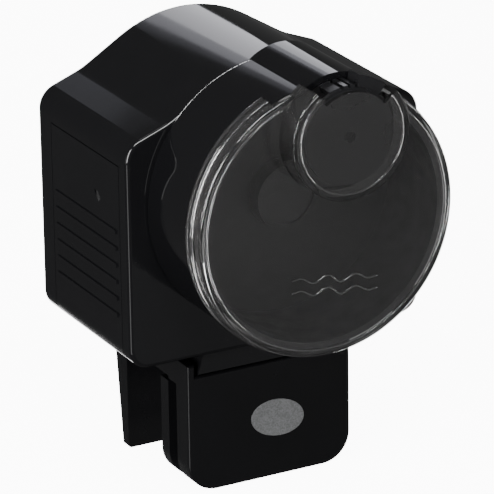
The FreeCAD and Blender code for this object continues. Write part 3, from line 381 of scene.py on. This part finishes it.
def arc_path(centre, radius, gap, face, steps):
    """Round a circle on the lid, clockwise from the cup's own direction, and open for `gap`
    degrees on each side of it."""
    path = []
    for k in range(steps + 1):
        angle = math.radians(gap + (360 - 2 * gap) * k / steps) + cup_turn
        out = Vector((math.sin(angle), 0, math.cos(angle)))
        place = Vector((centre.x, face, centre.z)) + out * radius
        path.append((place, out, FRONT))
    return path


def wave_path(middle, length, swing, waves, steps, lean):
    """A row of waves across the lid's face, fading at both ends."""
    path = []
    along = Vector((math.cos(lean), 0, -math.sin(lean)))
    across = Vector((math.sin(lean), 0, math.cos(lean)))
    for k in range(steps + 1):
        t = k / steps
        fade = math.sin(math.pi * t) ** 0.5
        phase = 2 * math.pi * waves * t
        place = middle + along * length * (t - 0.5) + across * swing * fade * math.sin(phase)
        slope = swing * 2 * math.pi * waves / length * math.cos(phase)
        out = (across - along * slope).normalized()
        path.append((place, out, FRONT))
    return path


RIM_LINE, RIM_GAP, RIM_STEPS = 37.3 * MM, 29, 200     # radius, degrees left open, steps
CUP_LINE, CUP_GAP, CUP_STEPS = 15.9 * MM, 44, 120
WAVE_DROPS = (17.0 * MM, 20.6 * MM)       # the rows' places below the drum's axis
WAVE_SHIFT = 2 * MM
WAVE_LENGTH, WAVE_SWING, WAVE_COUNT, WAVE_STEPS = 27 * MM, 1.1 * MM, 3, 120


def lid_marks():
    """Fine moulded lines: a rim line, two rows of waves and a line on the cup."""
    rim_bead = ridge(0.25 * MM, 0.6 * MM)
    wave_bead = ridge(0.3 * MM, 0.5 * MM)
    marks = [(arc_path(axis, RIM_LINE, RIM_GAP, lid_face, RIM_STEPS), rim_bead)]
    for drop in WAVE_DROPS:
        middle = Vector((axis.x + WAVE_SHIFT, lid_face, axis.z - drop))
        path = wave_path(middle, WAVE_LENGTH, WAVE_SWING, WAVE_COUNT, WAVE_STEPS, cup_turn)
        marks.append((path, wave_bead))
    marks.append((arc_path(cup, CUP_LINE, CUP_GAP, cup_face, CUP_STEPS), rim_bead))
    return marks


for number, (path, profile) in enumerate(lid_marks(), start=1):
    points, faces = sweep(path, profile)
    add_piece(f"lid_mark_{number}", points, faces, "clear_plastic", "lid")


# ---------------------------------------------------------------- clamp screw with its thread

THREAD_DEPTH, THREAD_PITCH = 0.55 * MM, 1.0 * MM
THREAD_AROUND, THREAD_ROWS = 32, 8        # points in a ring, and rings in a turn
DOG_LENGTH = 2.4 * MM                     # the plain point that the pressure plate holds
DOG_STEP = 0.8 * MM                       # how much thinner the point is, in radius
DOG_EDGE = 0.3 * MM
RUN_IN = 0.2 * MM                         # from the point up to the first thread
CENTRE_HOLE = 0.02 * MM                   # the first ring's radius, just above nothing


def thread_tooth(phase):
    """Depth of the groove along one pitch: 0 on the crest, 1 at the root, straight flanks."""
    return min(1, max(0, 2.4 * abs(phase - 0.5) * 2 - 0.7))


def threaded_screw():
    """The clamp screw as a metric thread with a dog point, in place of its plain stand-in."""
    low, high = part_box("clamp_screw")
    middle_x, middle_z = (low.x + high.x) / 2, (low.z + high.z) / 2
    radius = (high.x - low.x) / 2
    around = THREAD_AROUND
    dog = radius - DOG_STEP
    start, end = low.y + DOG_LENGTH, high.y
    rows = int((end - start) / THREAD_PITCH * THREAD_ROWS)
    points, faces = [], []

    def ring(y, radii):
        for k in range(around):
            angle = 2 * math.pi * k / around
            points.append(Vector((middle_x + radii[k] * math.sin(angle), y,
                                  middle_z + radii[k] * math.cos(angle))))

    for y, r in ((low.y, CENTRE_HOLE), (low.y, dog - DOG_EDGE), (low.y + DOG_EDGE, dog),
                 (start - RUN_IN, dog)):
        ring(y, [r] * around)
    for row in range(rows + 1):
        y = start + (end - start) * row / rows
        turns = (y - start) / THREAD_PITCH
        ring(y, [radius - THREAD_DEPTH * thread_tooth((turns - k / around) % 1)
                 for k in range(around)])
    total = len(points) // around
    for row in range(total - 1):
        here, there = row * around, (row + 1) * around
        for k in range(around):
            n = (k + 1) % around
            faces.append((here + k, here + n, there + n, there + k))
    faces.append(tuple(range(around - 1, -1, -1)))
    faces.append(tuple((total - 1) * around + k for k in range(around)))
    screw = add_piece("thread_screw", points, faces, "screw_steel", "clamp_screw")
    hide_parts("clamp_screw")


threaded_screw()


# ---------------------------------------------------------------- display digits

SEGMENTS = {"0": "abcdef", "1": "bc", "2": "abged"}
# each segment's place (side, level) in half widths and half heights, and whether it lies flat
BARS = {"a": (0, 1, True), "b": (1, 0.5, False), "c": (1, -0.5, False), "d": (0, -1, True),
        "e": (-1, -0.5, False), "f": (-1, 0.5, False), "g": (0, 0, True)}
DIGIT_PLACES = (8.4 * MM, 3.6 * MM, -3.6 * MM, -8.4 * MM)
DIGIT_HALF_WIDTH, DIGIT_HALF_HEIGHT = 1.7 * MM, 3.2 * MM
BAR = 0.4 * MM                            # width of a segment
BAR_GAP = BAR * 0.7                       # how far a segment ends short of its corner
BAR_FOOT, BAR_TOP = -0.02 * MM, 0.06 * MM
COLON_LEVEL = 0.45


def display_digits():
    """Plain seven-segment digits under the lens on the back."""
    low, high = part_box("display_module")
    middle = Vector(((low.x + high.x) / 2, high.y, (low.z + high.z) / 2))
    wide, tall = DIGIT_HALF_WIDTH, DIGIT_HALF_HEIGHT
    points, faces = [], []

    def tile(x, z, half_x, half_z):
        first = len(points)
        for dy in (BAR_FOOT, BAR_TOP):
            for sx, sz in ((-1, -1), (1, -1), (1, 1), (-1, 1)):
                points.append(Vector((middle.x + x + sx * half_x, middle.y + dy,
                                      middle.z + z + sz * half_z)))
        faces.extend([tuple(first + k for k in (3, 2, 1, 0)),
                      tuple(first + k for k in (4, 5, 6, 7))])
        for k in range(4):
            n = (k + 1) % 4
            faces.append((first + k, first + n, first + 4 + n, first + 4 + k))

    # seen from behind, so the first digit is on the +X side
    for place, digit in zip(DIGIT_PLACES, "1200"):
        for key in SEGMENTS[digit]:
            side, level, flat = BARS[key]
            x, z = place - side * wide, level * tall
            if flat:
                tile(x, z, wide - BAR_GAP, BAR / 2)
            else:
                tile(x, z, BAR / 2, tall / 2 - BAR_GAP)
    for level in (-COLON_LEVEL, COLON_LEVEL):
        tile(0, level * tall, BAR_GAP, BAR_GAP)
    add_piece("display_digits", points, faces, "part_black", "housing", smooth=False)


display_digits()


# ---------------------------------------------------------------- studio

def direction(azimuth, elevation):
    """A unit vector; azimuth runs from +Y, the back, towards +X."""
    a, e = math.radians(azimuth), math.radians(elevation)
    return Vector((math.sin(a) * math.cos(e), math.cos(a) * math.cos(e), math.sin(e)))


def make_light(name, azimuth, elevation, distance, size, brightness, colour=(1, 1, 1),
               through_only=False):
    """A softbox facing TARGET; its brightness is as seen, whatever its size. One that is
    through_only shines through clear plastic and is seen nowhere else."""
    data = bpy.data.lights.new(name, "AREA")
    data.shape = "RECTANGLE"
    data.size, data.size_y = size
    data.energy = brightness * math.pi * size[0] * size[1]
    data.color = colour
    light = bpy.data.objects.new(name, data)
    bpy.context.scene.collection.objects.link(light)
    light.location = TARGET + direction(azimuth, elevation) * distance
    light.rotation_euler = (TARGET - light.location).to_track_quat("-Z", "Y").to_euler()
    light.visible_camera = False
    light.visible_transmission = through_only
    light.visible_glossy = not through_only
    light.visible_diffuse = not through_only


# name, azimuth, elevation, distance, size, brightness and, where it isn't white, colour
SOFTBOXES = (
    ("back_outer", 17.8, 23.6, 1.2, (0.56, 0.415), 0.3, (0.86, 0.88, 1.0)),
    ("back_softbox", 19.1, 22.8, 1.19, (0.505, 0.38), 1.1, (0.92, 0.92, 1.0)),
    ("back_core", 21.5, 21.2, 1.18, (0.4, 0.3), 1.3, (0.96, 0.96, 1.0)),
    ("top_softbox", -160, 54, 1.2, (0.7, 0.4), 14.0),
    ("left_softbox", -124, 12, 1.2, (0.5, 0.98), 15.0),
    ("left_low", -120, -25, 1.2, (0.5, 0.4), 2.2),
    ("front_fill", 150, -14, 1.3, (0.9, 0.5), 0.13),
    ("low_right", 48, -32, 1.2, (0.5, 0.5), 9.0),
    ("low_back", 8, 4, 1.2, (0.66, 0.3), 12.0),
    ("side_right", 84, -3, 1.2, (0.44, 0.5), 1.6),
    ("side_left", -84, 0, 1.2, (0.36, 0.5), 1.2),
    ("low_behind", 9, -24, 1.2, (0.5, 0.36), 3.0),
    ("ceiling", 10, 82, 1.2, (0.5, 0.26), 2.0),
)
RIM_LIGHTS = (
    ("rim_left", -75, 8, 1.2, (0.9, 1.2), 16.0),
    ("rim_low", -50, -42, 1.2, (0.9, 0.5), 10.0),
    ("rim_right", 95, -10, 1.2, (0.6, 0.9), 8.0),
)
for softbox in SOFTBOXES:
    make_light(*softbox)
for rim_light in RIM_LIGHTS:
    make_light(*rim_light, through_only=True)

WHITE = 10.5             # brightness of the backdrop and floor as the camera sees them
THROUGH_LID = 0.25       # the same seen through clear plastic
AMBIENT = 0.075          # brightness of the room in reflections
FLOOR_DROP = 0.5 * MM    # how far the floor lies below the object
FLOOR_HALF = 4.0         # half its side, in metres


def make_floor():
    """A pale floor that only the camera sees, so it lights and shades nothing."""
    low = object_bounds()[0].z - FLOOR_DROP
    mesh = bpy.data.meshes.new("floor")
    corners = ((-1, -1), (1, -1), (1, 1), (-1, 1))
    mesh.from_pydata([(x * FLOOR_HALF, y * FLOOR_HALF, low) for x, y in corners], [],
                     [(0, 1, 2, 3)])
    floor = bpy.data.objects.new("floor", mesh)
    bpy.context.scene.collection.objects.link(floor)
    n = Nodes("floor")
    n.link(n.remap(n.noise(3, 2), 0.85, 0.95), n.shader.inputs["Roughness"])
    n.shader.inputs["Base Color"].default_value = (0.9, 0.9, 0.9, 1)
    n.shader.inputs["Emission Color"].default_value = (1, 1, 1, 1)
    n.shader.inputs["Emission Strength"].default_value = WHITE
    mesh.materials.append(n.material)
    floor.visible_glossy = False
    floor.visible_diffuse = False
    floor.visible_transmission = False
    floor.visible_shadow = False


def make_world():
    """White to the camera, dim through clear plastic, and a faint glow in reflections."""
    world = bpy.data.worlds.new("studio")
    bpy.context.scene.world = world
    world.use_nodes = True
    tree = world.node_tree
    sky = tree.nodes["Background"]
    sky.inputs["Color"].default_value = (1, 1, 1, 1)
    rays = tree.nodes.new("ShaderNodeLightPath")

    def choice(ray, brightness):
        """Gives one kind of ray its brightness; the others get what is set as To Min."""
        node = tree.nodes.new("ShaderNodeMapRange")
        node.inputs["To Max"].default_value = brightness
        tree.links.new(rays.outputs[ray], node.inputs["Value"])
        return node

    through = choice("Is Transmission Ray", THROUGH_LID)
    through.inputs["To Min"].default_value = AMBIENT
    seen = choice("Is Camera Ray", WHITE)
    tree.links.new(through.outputs["Result"], seen.inputs["To Min"])
    tree.links.new(seen.outputs["Result"], sky.inputs["Strength"])


make_floor()
make_world()
